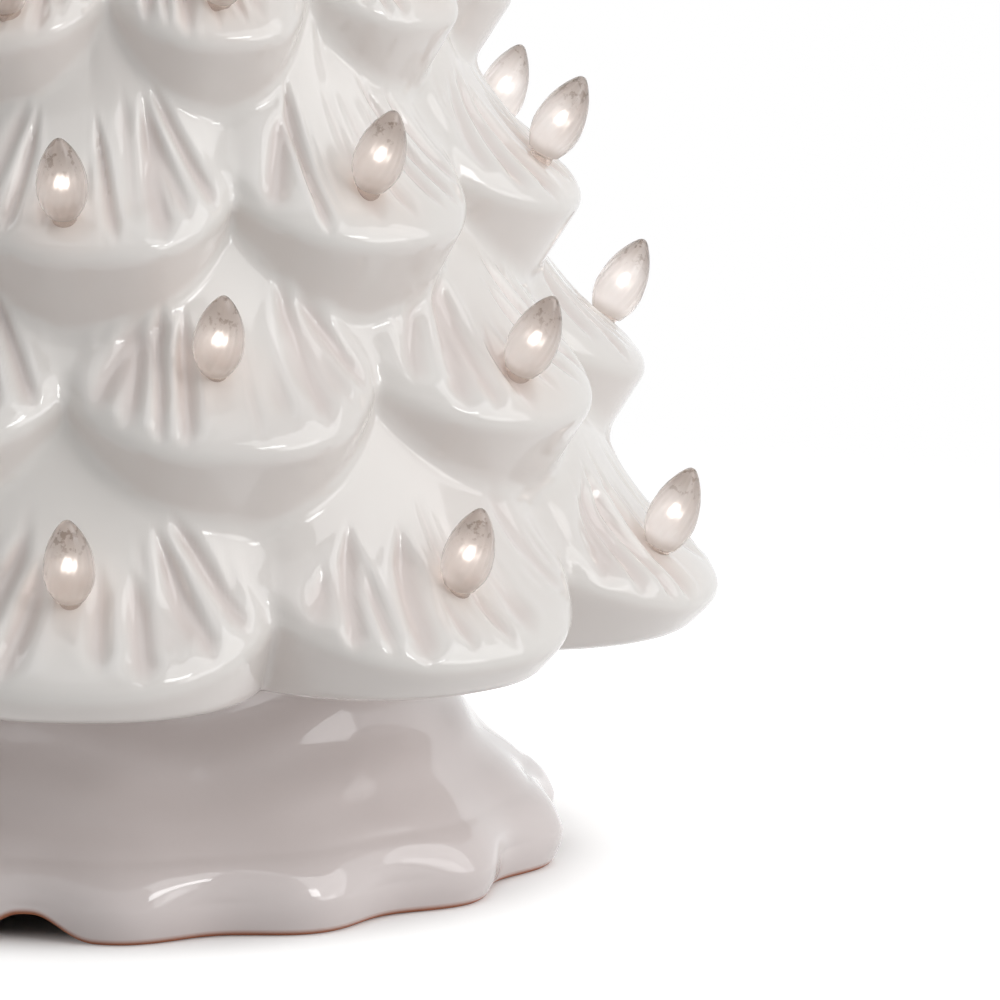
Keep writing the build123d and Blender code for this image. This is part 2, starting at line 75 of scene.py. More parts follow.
def turnedMesh(name, rings, ends):  # rings are rows of points round the axis, faces look out on the way up
    rings = np.asarray(rings, float)
    rows, cols = rings.shape[:2]
    points = rings.reshape(-1, 3)
    here = np.arange(cols)
    there = np.roll(here, -1)
    low = np.arange(rows if ends == "loop" else rows - 1)[:, None] * cols
    high = (low + cols) % (rows * cols)
    faces = np.stack([low + here, low + there, high + there, high + here], axis=-1)
    faces = faces.reshape(-1, 4).tolist()
    if ends == "caps":
        last = (rows - 1) * cols
        points = np.vstack([points, rings[0].mean(0), rings[-1].mean(0)])
        faces += [[rows * cols, int(b), int(a)] for a, b in zip(here, there)]
        faces += [[int(last + a), int(last + b), rows * cols + 1] for a, b in zip(here, there)]
    mesh = bpy.data.meshes.new(name)
    mesh.from_pydata((points * mm).tolist(), [], faces)
    mesh.shade_smooth()
    return mesh


def paint(mesh, label, values):  # one number per point for a material to read
    full = np.zeros(len(mesh.vertices), np.float32)
    full[:values.size] = values.ravel()
    mesh.attributes.new(label, "FLOAT", "POINT").data.foreach_set("value", full)


def placePiece(mesh, body, slotName, *stoodFor):
    piece = bpy.data.objects.new(mesh.name, mesh)
    bpy.context.scene.collection.objects.link(piece)
    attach(piece, body)
    if stoodFor:
        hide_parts(*stoodFor)


# small helpers for shader nodes

def addNode(tree, kind, **values):
    node = tree.nodes.new(kind)
    for label, value in values.items():
        setattr(node, label, value)
    return node


def plug(tree, source, socket):  # a source is another node's socket or a plain value
    if isinstance(source, bpy.types.NodeSocket):
        tree.links.new(source, socket)
    else:
        socket.default_value = source


def feed(tree, node, **sources):  # underscores stand for spaces
    for label, source in sources.items():
        plug(tree, source, node.inputs[label.replace("_", " ")])
    return node


def calc(tree, operation, first, second=0.0):
    node = addNode(tree, "ShaderNodeMath", operation=operation)
    plug(tree, first, node.inputs[0])
    plug(tree, second, node.inputs[1])
    return node.outputs[0]


def blendColours(tree, share, first, second):  # the mix node's colour sockets have these places
    node = addNode(tree, "ShaderNodeMix", data_type="RGBA")
    for place, source in zip((0, 6, 7), (share, first, second)):
        plug(tree, source, node.inputs[place])
    return node.outputs[2]


def spread(tree, value, fromLow, fromHigh, toLow, toHigh):
    node = addNode(tree, "ShaderNodeMapRange")
    feed(tree, node, Value=value, From_Min=fromLow, From_Max=fromHigh, To_Min=toLow, To_Max=toHigh)
    return node.outputs[0]


def cloud(tree, coords, scale, detail=2.0, rough=0.5):
    node = addNode(tree, "ShaderNodeTexNoise")
    feed(tree, node, Vector=coords, Scale=scale, Detail=detail, Roughness=rough)
    return node.outputs[0]


def painted(tree, label):  # a number that paint left on the mesh
    return addNode(tree, "ShaderNodeAttribute", attribute_name=label).outputs["Fac"]


def newGroup(name, inputs, outputs):
    group = bpy.data.node_groups.new(name, "ShaderNodeTree")
    kinds = {3: "NodeSocketColor", 1: "NodeSocketFloat"}
    for label, size in inputs.items():
        group.interface.new_socket(name=label, in_out="INPUT", socket_type=kinds[size])
    for label, size in outputs.items():
        group.interface.new_socket(name=label, in_out="OUTPUT", socket_type=kinds[size])
    entry = addNode(group, "NodeGroupInput")
    leave = addNode(group, "NodeGroupOutput")
    coords = addNode(group, "ShaderNodeTexCoord").outputs["Object"]
    return group, entry.outputs, leave, coords


def useGroup(tree, group, **values):
    node = addNode(tree, "ShaderNodeGroup", node_tree=group)
    return feed(tree, node, **values).outputs


def newFinish(name):
    material = bpy.data.materials.new(name)
    material.use_nodes = True
    tree = material.node_tree
    return material, tree, tree.nodes["Principled BSDF"]


def addRelief(tree, shader, height, strength, depth):  # depth in metres
    bump = feed(tree, addNode(tree, "ShaderNodeBump"), Height=height, Strength=strength, Distance=depth)
    tree.links.new(bump.outputs[0], shader.inputs["Normal"])


def rgb(red, green, blue):
    return (red, green, blue, 1.0)


# shared finishes as node groups

glazeMake = dict(
    cloudScale=26.0, cloudRange=(0.4, 0.7), grainScale=170.0, grainShare=0.25,
    rough=(0.05, 0.10), poolRough=0.02,
    speckScale=48.0, speckRadius=(0.008, 0.022), speckPick=0.86, speckShare=0.7,
    speckTone=rgb(0.16, 0.11, 0.09),
)
plasticMake = dict(flowScale=45.0, flowRange=(0.35, 0.75), roughSpread=0.06)
metalMake = dict(
    lineScale=2600.0, lineStretch=0.06, stainScale=160.0, stainRange=(0.45, 0.75), roughSpread=0.08,
)
clearMake = dict(
    waveRange=(0.35, 0.7), tipShare=0.7, rimShadeShare=0.7, hazeScale=600.0, hazeSpread=0.04,
    speckScale=620.0, speckDetail=4.0, speckRough=0.65, speckRange=(0.53, 0.6), speckShare=0.9,
    speckTone=rgb(0.2, 0.13, 0.09),
)
noiseRange = (0.3, 0.7)  # where most of a noise texture lies


def makeGlazeGroup():
    group, given, leave, coords = newGroup(
        "firedGlaze",
        {"Tone": 3, "Pool": 3, "Thin": 3, "Warm": 3, "Mottle": 1},
        {"Color": 3, "Roughness": 1, "Height": 1},
    )
    make = glazeMake
    clouds = cloud(group, coords, make["cloudScale"], 3.0)
    grain = cloud(group, coords, make["grainScale"])
    # painted shade: the pooled colour darkens the grooves, where thicker glaze pools and shade falls, and
    # is also painted on the downward lips and on the base under the tree
    poolAndShade = painted(group, "poolAndShade")
    colour = blendColours(group, poolAndShade, given["Tone"], given["Pool"])
    colour = blendColours(group, painted(group, "thin"), colour, given["Thin"])
    # painted light: a warm tint round each bulb seat stands in for the bulbs' glow through the glaze
    colour = blendColours(group, painted(group, "paintedGlow"), colour, given["Warm"])
    patch = calc(group, "MULTIPLY", spread(group, clouds, *make["cloudRange"], 0.0, 1.0), given["Mottle"])
    colour = blendColours(group, patch, colour, given["Pool"])
    cells = feed(group, addNode(group, "ShaderNodeTexVoronoi"), Vector=coords, Scale=make["speckScale"])
    near = spread(group, cells.outputs["Distance"], *make["speckRadius"], 1.0, 0.0)
    parts = addNode(group, "ShaderNodeSeparateColor")
    group.links.new(cells.outputs["Color"], parts.inputs[0])
    chosen = calc(group, "GREATER_THAN", parts.outputs[0], make["speckPick"])
    speck = calc(group, "MULTIPLY", calc(group, "MULTIPLY", near, chosen), make["speckShare"])
    colour = blendColours(group, speck, colour, make["speckTone"])
    rough = spread(group, grain, *noiseRange, *make["rough"])
    rough = calc(group, "ADD", rough, calc(group, "MULTIPLY", poolAndShade, make["poolRough"]))
    height = calc(group, "ADD", calc(group, "MULTIPLY", grain, make["grainShare"]), clouds)
    feed(group, leave, Color=colour, Roughness=rough, Height=height)
    return group


def makePlasticGroup():
    group, given, leave, coords = newGroup(
        "mouldedPlastic",
        {"Tone": 3, "Deep": 3, "Grain": 1, "Gloss": 1},
        {"Color": 3, "Roughness": 1, "Height": 1},
    )
    grain = cloud(group, coords, given["Grain"])
    flow = cloud(group, coords, plasticMake["flowScale"], 3.0)
    flow = spread(group, flow, *plasticMake["flowRange"], 0.0, 1.0)
    colour = blendColours(group, flow, given["Tone"], given["Deep"])
    uneven = plasticMake["roughSpread"]
    rough = calc(group, "ADD", given["Gloss"], spread(group, grain, *noiseRange, -uneven, uneven))
    feed(group, leave, Color=colour, Roughness=rough, Height=grain)
    return group


def makeMetalGroup():
    group, given, leave, coords = newGroup(
        "drawnMetal",
        {"Tone": 3, "Dull": 3, "Gloss": 1},
        {"Color": 3, "Roughness": 1, "Height": 1},
    )
    stretched = addNode(group, "ShaderNodeMapping")
    feed(group, stretched, Vector=coords, Scale=(1.0, 1.0, metalMake["lineStretch"]))
    lines = cloud(group, stretched.outputs[0], metalMake["lineScale"])
    stain = cloud(group, coords, metalMake["stainScale"], 3.0)
    stain = spread(group, stain, *metalMake["stainRange"], 0.0, 1.0)
    colour = blendColours(group, stain, given["Tone"], given["Dull"])
    uneven = metalMake["roughSpread"]
    rough = calc(group, "ADD", given["Gloss"], spread(group, lines, *noiseRange, -uneven, uneven))
    feed(group, leave, Color=colour, Roughness=rough, Height=lines)
    return group


def makeClearGroup():
    group, given, leave, coords = newGroup(
        "clearMoulding",
        {"Tone": 3, "Tint": 3, "Deep": 3, "Grain": 1, "Haze": 1},
        {"Color": 3, "Roughness": 1, "Height": 1},
    )
    make = clearMake
    wave = cloud(group, coords, given["Grain"])
    tip, rim = painted(group, "tip"), painted(group, "rim")
    speck = cloud(group, coords, make["speckScale"], make["speckDetail"], make["speckRough"])
    speck = spread(group, speck, *make["speckRange"], 0.0, make["speckShare"])
    tinted = spread(group, wave, *make["waveRange"], 0.0, 1.0)
    colour = blendColours(group, tinted, given["Tone"], given["Tint"])
    colour = blendColours(group, calc(group, "MULTIPLY", tip, make["tipShare"]), colour, given["Deep"])
    colour = blendColours(group, calc(group, "MULTIPLY", speck, tip), colour, make["speckTone"])
    # painted shadow: the bulb's foot and its peg darken towards the deep colour, a contact shadow at the
    # seat
    colour = blendColours(group, calc(group, "MULTIPLY", rim, make["rimShadeShare"]), colour, given["Deep"])
    haze = spread(group, cloud(group, coords, make["hazeScale"]), *noiseRange, 0.0, make["hazeSpread"])
    rough = calc(group, "ADD", given["Haze"], haze)
    feed(group, leave, Color=colour, Roughness=rough, Height=wave)
    return group


glazeGroup = makeGlazeGroup()
plasticGroup = makePlasticGroup()
metalGroup = makeMetalGroup()
clearGroup = makeClearGroup()
print("finish groups ready")


# glaze of the tree and of the base

glazeLook = dict(
    tone=rgb(0.80, 0.77, 0.738), poolAndShade=rgb(0.72, 0.64, 0.61), thin=rgb(0.84, 0.815, 0.79),
    # painted shade: the base's tones are darker copies of the tree's glaze, for the base sitting under the
    # tree
    baseToneShaded=rgb(0.752, 0.682, 0.668), basePool=rgb(0.61, 0.525, 0.505),
    paintedGlowTint=rgb(0.86, 0.73, 0.66), mottle=0.25, coat=0.4, coatRough=0.04, ior=1.5,
    strength=0.5, relief=0.00022, clay=rgb(0.42, 0.15, 0.07), clayRough=0.8,
)


def makeGlaze(name, tone, poolAndShade):
    material, tree, shader = newFinish(name)
    out = useGroup(
        tree, glazeGroup, Tone=tone, Pool=poolAndShade, Thin=glazeLook["thin"],
        Warm=glazeLook["paintedGlowTint"], Mottle=glazeLook["mottle"],
    )
    bare = painted(tree, "bare")
    colour = blendColours(tree, bare, out["Color"], glazeLook["clay"])
    rough = calc(tree, "MAXIMUM", out["Roughness"], calc(tree, "MULTIPLY", bare, glazeLook["clayRough"]))
    coat = spread(tree, bare, 0.0, 1.0, glazeLook["coat"], 0.0)
    feed(tree, shader, Base_Color=colour, Roughness=rough, Coat_Weight=coat)
    feed(tree, shader, Coat_Roughness=glazeLook["coatRough"], IOR=glazeLook["ior"])
    addRelief(tree, shader, out["Height"], glazeLook["strength"], glazeLook["relief"])
    return material


treeGlaze = makeGlaze("treeGlaze", glazeLook["tone"], glazeLook["poolAndShade"])
# painted shade: the base gets the darker copy of the glaze
baseGlazeShaded = makeGlaze("baseGlazeShaded", glazeLook["baseToneShaded"], glazeLook["basePool"])


# tree: tiers of drooping branches, the same form as the solid

treeForm = dict(
    seat=48.0, height=296.0, skirt=117.0, wall=6.0, floor=6.0, cap=24.0, spire=7.0, spireTaper=0.14,
    noseRadii=(1.0, 0.87, 0.773, 0.645, 0.545, 0.44, 0.338, 0.241, 0.149),
    noseHeights=(0.028, 0.165, 0.285, 0.41, 0.535, 0.65, 0.756, 0.852, 0.932),
    branches=(9, 9, 9, 10, 8, 7, 5, 4, 4),
    firstTurns=(-4.0, 13.5, -3.5, 16.5, 2.0, 20.0, -10.0, 30.0, -15.0),
    scallop=17.0, scallopFade=30.0, lipRise=9.0, droop=2.5, noseRound=10.0, creaseRound=4.0,
    flareHeight=9.0, flareSlope=1.5, upperSlope=0.5, underSlope=0.65,
    skirtUnder=(1.0, 1.6, 1.5, 1.2, 1.0, 1.4, 1.1, 1.3, 1.0),
    opening=55.0, socketRadius=2.95, socketDepth=12.25,
)
treeMesh = dict(
    columns=864, rows=430, innerRows=56, edgeRound=2.2, smallEdge=0.5, socketEdge=0.3, hollowTip=1.0,
    floorShares=(0.5, 0.98), footShares=(0.02, 0.5, 0.97), topShares=(0.9, 0.3), strokeBand=(-12.0, 34.0),
)
handWork = dict(  # what the maker's hand leaves: uneven branches, softer noses and slow waves
    seed=7, out=0.3, up=0.3, noseRound=14.0, swell=0.5,
    wave=0.45, waveFall=0.7, waves=((5, 19.0), (11, -13.0), (23, 8.0)),
)
treePaint = dict(  # depths and distances in mm of the pooled glaze and painted shade in the grooves, the painted shade under the lips, the thin glaze and the painted warm glow round the bulbs
    poolAndShadeDepth=1.3, poolAndShadeShare=0.8, lipShadeSlope=0.6, lipPool=0.35, thinHeight=0.5, thinShare=0.6,
    paintedGlowNear=2.0, paintedGlowFade=13.0, paintedGlowShare=0.3,
)
mainStrokes = dict(  # place across the half branch, depth and length of each stroke, six patterns
    depth=2.3, length=23.0, stagger=7.0, end=5.0, width=0.055, point=0.3, fan=0.32, rim=0.22, rimPlace=1.9,
    edgePower=8, sway=0.11, variety=0.35, turn=29.0,
    starts=(0, 2, 4, 1, 3, 5, 0, 2, 4),
    patterns=(
        ((-0.82, 0.6, 0.8), (-0.6, 0.8, 0.9), (-0.34, 1.0, 0.75), (0.1, 0.6, 0.65),
         (0.31, 1.0, 0.6), (0.47, 0.6, 0.6), (0.64, 0.9, 0.9), (0.85, 0.8, 1.0)),
        ((-0.84, 0.7, 0.5), (-0.66, 1.0, 0.8), (-0.5, 0.8, 0.55), (-0.34, 1.0, 0.8),
         (-0.08, 0.7, 0.35), (0.16, 0.7, 0.4), (0.3, 0.6, 0.35), (0.74, 0.4, 1.0)),
        ((-0.82, 0.9, 0.8), (-0.64, 0.9, 0.7), (-0.46, 1.0, 0.9), (-0.32, 1.0, 0.8),
         (0.24, 0.4, 0.4), (0.5, 0.8, 1.0), (0.68, 0.6, 0.8), (0.86, 0.8, 1.0)),
        ((-0.84, 0.6, 0.9), (-0.6, 0.9, 1.0), (-0.42, 0.8, 0.8), (-0.18, 0.8, 0.5),
         (0.12, 0.5, 0.35), (0.4, 0.6, 0.8), (0.62, 0.7, 1.0), (0.83, 0.5, 0.9)),
        ((-0.76, 0.6, 0.9), (-0.52, 0.9, 0.8), (-0.28, 0.5, 0.5), (0.17, 0.8, 0.8),
         (0.32, 0.5, 1.0), (0.46, 1.0, 0.9), (0.64, 0.7, 0.7), (0.84, 0.9, 1.0)),
        ((-0.8, 0.9, 0.8), (-0.5, 1.0, 1.0), (-0.17, 0.6, 0.35), (0.13, 0.6, 0.4),
         (0.41, 0.6, 0.8), (0.58, 0.7, 1.0), (0.77, 0.6, 0.8)),
    ),
)
fineStrokes = dict(  # thin marks between the main strokes, lengths in mm
    seed=23, pitch=5.0, jitter=0.5, skip=0.35, depth=(0.15, 0.6), width=(0.7, 1.5), top=(9.0, 26.0),
    bottom=(-1.0, 12.0), lowFade=5.0, topFade=9.0, fan=0.3, fanTop=30.0, bend=0.08, rim=0.3, rimPlace=1.9,
    edge=0.94, seatClear=(3.5, 8.0), seatTall=1.4,
)
bulbPlan = dict(
    rises=(10.0, 9.0, 7.5, 6.0, 8.5, 7.5, 7.0, 6.0),
    riseShares=(
        (1.25, 1.05, 0.8, 0.9, 1.0, 0.95, 1.1, 1.0, 0.95),
        (1.25, 0.65, 0.4, 0.8, 0.9, 1.05, 0.9, 1.0, 0.75),
        (0.6, 0.9, 0.8, 0.4, 0.9, 1.0, 0.75, 0.9, 0.8),
        (0.8, 1.0, 0.9, 1.1, 1.0, 0.95, 1.0, 1.1, 0.9, 0.6),
        (1.0, 1.1, 0.9, 1.0, 1.0, 1.1, 0.95, 1.0),
        (1.0, 0.95, 1.0, 1.1, 1.0, 0.9, 1.0),
        (1.0, 1.05, 0.95, 1.0, 1.0),
        (1.0, 1.0, 1.05, 0.95),
    ),
    wanders=(
        (-1.0, 0.5, -3.5, 6.0, -2.0, 1.0, 2.0, -1.0, 3.0),
        (-2.0, -1.5, 9.0, 4.0, -2.0, 1.0, 2.0, -1.0, 1.0),
        (-3.0, -2.0, 0.0, 6.0, -2.0, 1.0, 2.0, -1.0, -2.0),
        (-0.5, 1.0, 3.0, 0.0, -2.0, 1.0, 2.0, -1.0, 2.0, 3.5),
        (1.0, -2.0, 0.0, 2.0, -1.0, 0.0, 2.0, -2.0),
        (0.0, 2.0, -2.0, 1.0, 0.0, -1.0, 2.0),
        (1.0, -1.0, 0.0, 2.0, -2.0),
        (0.0, 2.0, -1.0, 1.0),
    ),
    leans=(23.0, 28.0, 28.0, 27.0, 27.0, 26.0, 26.0, 25.0),
)


def branchHeight(tier):
    return treeForm["seat"] + treeForm["height"] * treeForm["noseHeights"][tier]


def branchSurface(tier, branch, across, heights, out, up, groove, noseRound):
    size = np.sqrt(treeForm["noseRadii"][tier])
    droop = np.abs(across) ** treeForm["droop"]
    above = heights - branchHeight(tier) - up - treeForm["lipRise"] * size * droop
    fade = np.exp(-np.maximum(above, 0) / treeForm["scallopFade"])
    nose = treeForm["skirt"] * treeForm["noseRadii"][tier] + out + treeForm["noseRound"] * size / 4
    nose = nose - treeForm["scallop"] * size * droop * fade
    reach = treeForm["flareHeight"] * (1 - np.exp(-np.maximum(above, 0) / treeForm["flareHeight"]))
    flare = treeForm["flareSlope"] * np.where(above > 0, reach, above)
    upper = nose - treeForm["upperSlope"] * above - flare - groove(above)
    tuck = np.take(treeForm["skirtUnder"], branch) if tier == 0 else 1.0
    return smallerOf(upper, nose + treeForm["underSlope"] * tuck * above, noseRound * size)


def noGroove(above):
    return 0.0


def treeRadius(turns, heights, marks=None):  # turns and heights broadcast together
    turns, heights = np.asarray(turns, float), np.asarray(heights, float)
    radius = treeForm["spire"] + treeForm["spireTaper"] * (treeForm["seat"] + treeForm["height"] - heights)
    radius = radius + 0 * turns  # takes on the shape of both
    for tier, count in enumerate(treeForm["branches"]):
        place = (turns - treeForm["firstTurns"][tier]) * count / 360
        branch = np.floor(place + 0.5)
        across = 2 * (place - branch)
        side = np.where(across > 0, 1, -1)
        crease = treeForm["creaseRound"] * np.sqrt(treeForm["noseRadii"][tier])
        own, other = np.mod(branch, count).astype(int), np.mod(branch + side, count).astype(int)
        out, up, groove, nose = np.zeros(count), np.zeros(count), noGroove, treeForm["noseRound"]
        if marks:
            out, up, nose = marks["out"][tier], marks["up"][tier], handWork["noseRound"]
            groove = marks["groove"](tier, across, own)
        near = branchSurface(tier, own, across, heights, out[own], up[own], groove, nose)
        far = branchSurface(tier, other, across - 2 * side, heights, out[other], up[other], noGroove, nose)
        radius = largerOf(radius, largerOf(near, far, crease), crease)
    return radius


def bulbSeats(tier):  # turn, radius, height and lean of each bulb of a tier
    count = treeForm["branches"][tier]
    turns = treeForm["firstTurns"][tier] + 360 * np.arange(count) / count
    turns = turns + np.array(bulbPlan["wanders"][tier])
    heights = branchHeight(tier) + bulbPlan["rises"][tier] * np.array(bulbPlan["riseShares"][tier])
    return turns, treeRadius(turns, heights), heights, bulbPlan["leans"][tier]


def pickFrom(label, share):
    low, high = fineStrokes[label]
    return low + share * (high - low)


def drawFineStrokes(draw):  # the thin tool marks of every branch, from the nose up to its root
    strokes = []
    for tier, count in enumerate(treeForm["branches"]):
        half = np.pi * treeForm["skirt"] * treeForm["noseRadii"][tier] / count
        size = np.sqrt(treeForm["noseRadii"][tier])
        rank = max(int(half / fineStrokes["pitch"]), 2)
        rows = []
        for branch in range(count):
            for step in range(-rank, rank + 1):
                shift, deep, wide, top, low, bend, keep = draw.random(7)
                at = (step + fineStrokes["jitter"] * (2 * shift - 1)) * fineStrokes["pitch"] / half
                if keep > fineStrokes["skip"] and abs(at) < fineStrokes["edge"]:
                    rows.append((
                        branch, at, pickFrom("depth", deep) * size, pickFrom("width", wide),
                        pickFrom("top", top) * size, pickFrom("bottom", low),
                        fineStrokes["bend"] * (2 * bend - 1),
                    ))
        strokes.append((half, rows))
    return strokes


def strokeCut(off, form):  # a groove with a low rim on either side
    return np.exp(-off ** 2) - form["rim"] * np.exp(-(np.abs(off) - form["rimPlace"]) ** 2)


def addMainStrokes(field, tier, across, branch, above):
    form = mainStrokes
    deepest = form["depth"] * np.sqrt(treeForm["noseRadii"][tier])
    kinds = (branch[0] + form["starts"][tier]) % len(form["patterns"])
    for kind, pattern in enumerate(form["patterns"]):
        cols = np.where(kinds == kind)[0]
        if len(cols):
            rise = above[:, cols]
            lifted = np.maximum(rise, 0) / form["length"]
            for place, depth, length in pattern:
                along = ease((rise - form["stagger"] * (1 - depth)) / form["end"] + 0.5)
                along = along * ease((form["length"] * length - rise) / (2 * form["end"]) + 0.5)
                own = np.sin(form["turn"] * place)  # each stroke's own slant and breadth
                line = place * (1 - form["fan"] * lifted) + form["sway"] * own * lifted
                broad = form["width"] * (1 + form["variety"] * own)
                broad = broad * (form["point"] + (1 - form["point"]) * along)
                cut = strokeCut((across[:, cols] - line) / broad, form)
                field[:, cols] += deepest * depth * along * cut


def addFineStrokes(field, strokes, across, own, above):
    half, rows = strokes
    for branch, at, depth, width, top, low, bend in rows:
        cols = np.where(own[0] == branch)[0]
        rise = above[:, cols]
        lifted = np.clip(rise, 0, fineStrokes["fanTop"]) / fineStrokes["fanTop"]
        narrow = 1 - fineStrokes["fan"] * lifted
        off = (across[:, cols] - (at + bend * lifted) * narrow) * half / width
        along = ease((rise - low) / fineStrokes["lowFade"] + 0.5)
        along = along * ease((top - rise) / fineStrokes["topFade"] + 0.5)
        field[:, cols] += depth * along * strokeCut(off, fineStrokes)


def makeGrooves(clear):  # clear keeps the thin marks off the bulbs' seats
    lowest, highest = treeMesh["strokeBand"]
    fine = drawFineStrokes(np.random.default_rng(fineStrokes["seed"]))

    def grooveOf(tier, across, own):
        def groove(above):
            rows = np.where((above.max(1) > lowest) & (above.min(1) < highest))[0]
            band = slice(rows[0], rows[-1] + 1)
            main, thin = np.zeros_like(above), np.zeros_like(above)
            addMainStrokes(main[band], tier, across, own, above[band])
            addFineStrokes(thin[band], fine[tier], across, own, above[band])
            return (main + thin * clear) * (1 - np.abs(across) ** mainStrokes["edgePower"])

        return groove
    return grooveOf


def distanceToBulbs(turns, heights):  # turns in one row, heights in one column
    nearest = np.full((heights.size, turns.size), treeForm["skirt"])
    for tier in range(len(bulbPlan["rises"])):
        for turn, radius, height in zip(*bulbSeats(tier)[:3]):
            gap = np.radians(np.mod(turns - turn + 180, 360) - 180) * radius
            nearest = np.minimum(nearest, np.hypot(gap, (heights - height) * fineStrokes["seatTall"]))
    return nearest


def hollowRadius(turns, height):  # keeps the wall inwards, up, down and at 45 degrees
    wall, slant = treeForm["wall"], treeForm["wall"] * np.sqrt(0.5)
    here = treeRadius(turns, height)
    aside = np.degrees(slant / here)
    return np.min([
        here - wall, treeRadius(turns, height + wall), treeRadius(turns, height - wall),
        treeRadius(turns, height + slant) - slant, treeRadius(turns, height - slant) - slant,
        treeRadius(turns + aside, height) - slant, treeRadius(turns - aside, height) - slant,
    ], axis=0)


def buildTree():
    draw = np.random.default_rng(handWork["seed"])
    turns = 360 * np.arange(treeMesh["columns"]) / treeMesh["columns"]
    bottom, top = treeForm["seat"], treeForm["seat"] + treeForm["height"]
    heights = np.linspace(bottom, top, treeMesh["rows"])
    turnGrid, heightGrid = turns[None, :], heights[:, None]
    seatFar = distanceToBulbs(turnGrid, heightGrid)
    nearClear, farClear = fineStrokes["seatClear"]
    counts = treeForm["branches"]
    marks = dict(
        out=[handWork["swell"] + handWork["out"] * draw.normal(size=count) for count in counts],
        up=[handWork["up"] * draw.normal(size=count) for count in counts],
        groove=makeGrooves(ease((seatFar - nearClear) / (farClear - nearClear))),
    )
    radius = treeRadius(turnGrid, heightGrid, marks)
    plain = dict(marks, groove=lambda tier, across, own: noGroove)
    shade = radius - treeRadius(turnGrid, heightGrid, plain)
    # painted shade: surfaces facing down, the lips under each tier, get the darker pooled colour
    lipShade = ease(np.gradient(radius, heights, axis=0) / treePaint["lipShadeSlope"])
    angle = np.radians(turnGrid)
    for waves, lift in handWork["waves"]:
        phase = draw.random() * 2 * np.pi
        swing = handWork["wave"] / waves ** handWork["waveFall"]
        radius = radius + swing * np.sin(waves * angle + heightGrid / lift + phase)
    low = np.clip(1 - (heightGrid - bottom) / treeMesh["edgeRound"], 0, 1)
    radius = radius - treeMesh["edgeRound"] * (1 - np.sqrt(1 - low ** 2))
    # from the top of the hollow down its wall, out under the floor, up the outside and into the socket
    floorTop, hollowTop = bottom + treeForm["floor"], top - treeForm["cap"]
    innerHeights = np.linspace(hollowTop, floorTop, treeMesh["innerRows"])
    inner = [hollowRadius(turns, height) for height in innerHeights]
    opening, edge = treeForm["opening"], treeMesh["smallEdge"]
    rings = [atTurn(turns, treeMesh["hollowTip"], hollowTop)]
    rings += [atTurn(turns, row, height) for row, height in zip(inner, innerHeights)]
    for share in treeMesh["floorShares"]:
        rings.append(atTurn(turns, inner[-1] + (opening + edge - inner[-1]) * share, floorTop))
    rings.append(atTurn(turns, opening, floorTop - edge))
    rings.append(atTurn(turns, opening, bottom + edge))
    for share in treeMesh["footShares"]:
        rings.append(atTurn(turns, opening + edge + (radius[0] - opening - edge) * share, bottom))
    first = len(rings)
    rings += [atTurn(turns, row, height) for row, height in zip(radius, heights)]
    last = len(rings)
    socket, socketFloor = treeForm["socketRadius"], top - treeForm["socketDepth"]
    for share in treeMesh["topShares"]:
        rings.append(atTurn(turns, socket + (radius[-1] - socket) * share, top))
    rings.append(atTurn(turns, socket, top - treeMesh["socketEdge"]))
    rings.append(atTurn(turns, socket, socketFloor))
    rings.append(atTurn(turns, socket / 2, socketFloor))
    mesh = turnedMesh("treeGlazed", rings, "caps")
    mesh.set_sharp_from_angle(angle=sharpAngle)
    mesh.materials.append(treeGlaze)
    # the grooves get darker with depth: thicker pooled glaze plus painted shade
    grooved = np.clip(-shade / treePaint["poolAndShadeDepth"], 0, 1) * treePaint["poolAndShadeShare"]
    # painted light: the warm glow falls off with distance from the bulb seats
    paintedGlow = 1 - ease((seatFar - treePaint["paintedGlowNear"]) / treePaint["paintedGlowFade"])
    full = np.zeros((len(rings), len(turns)))
    for label, values in (
        ("poolAndShade", np.maximum(grooved, treePaint["lipPool"] * lipShade)),
        ("thin", np.clip(shade / treePaint["thinHeight"], 0, 1) * treePaint["thinShare"]),
        ("paintedGlow", paintedGlow * treePaint["paintedGlowShare"]),
    ):
        full[first:last] = values
        paint(mesh, label, full)
    placePiece(mesh, "tree", "tree_glaze", "tree_shell")
    print("tree built:", len(mesh.polygons), "faces, deepest groove", round(float(shade.min()), 2), "mm")


buildTree()


# base: rolled scalloped foot, low arches, flare, deck and collar

baseForm = dict(
    neck=56.0, flare=26.0, flareHeight=17.0, roll=14.0, rollRadius=8.0, rollCentre=76.5, rollBlend=3.0,
    wall=6.0, deck=6.0, scallop=2.6, scallopFade=8.0, scallops=14, archHalf=13.0, archHeight=5.0,
    archValleys=(-0.5, 3.5, 6.5, 9.5), top=48.0, hole=41.25, collar=54.0, collarWall=5.0, collarHeight=8.0,
    columns=560, rows=96, rowPower=1.25, edgeRound=1.1, rimRound=1.0, holeEdge=0.5, collarEdge=0.3,
    cornerEdge=0.4, archLevel=2.0, archEnd=1.12, archWide=1.25,
    innerShares=(0.0, 0.03, 0.2, 0.4, 0.55, 0.66, 0.76, 0.85, 0.93, 1.0),
    # the last three entries of the next line paint shade: the base darkens towards its top, under the
    # tree's overhang
    bareHeight=1.25, bareStart=0.3, neckShadeLow=38.0, neckShadeSpan=10.0, poolAndShadeShare=0.5,
    ripple=0.3, rippleLength=11.0, rippleFade=8.0, rippleDrift=((1.7, 3, 40), (1.1, 7, 0)),
)


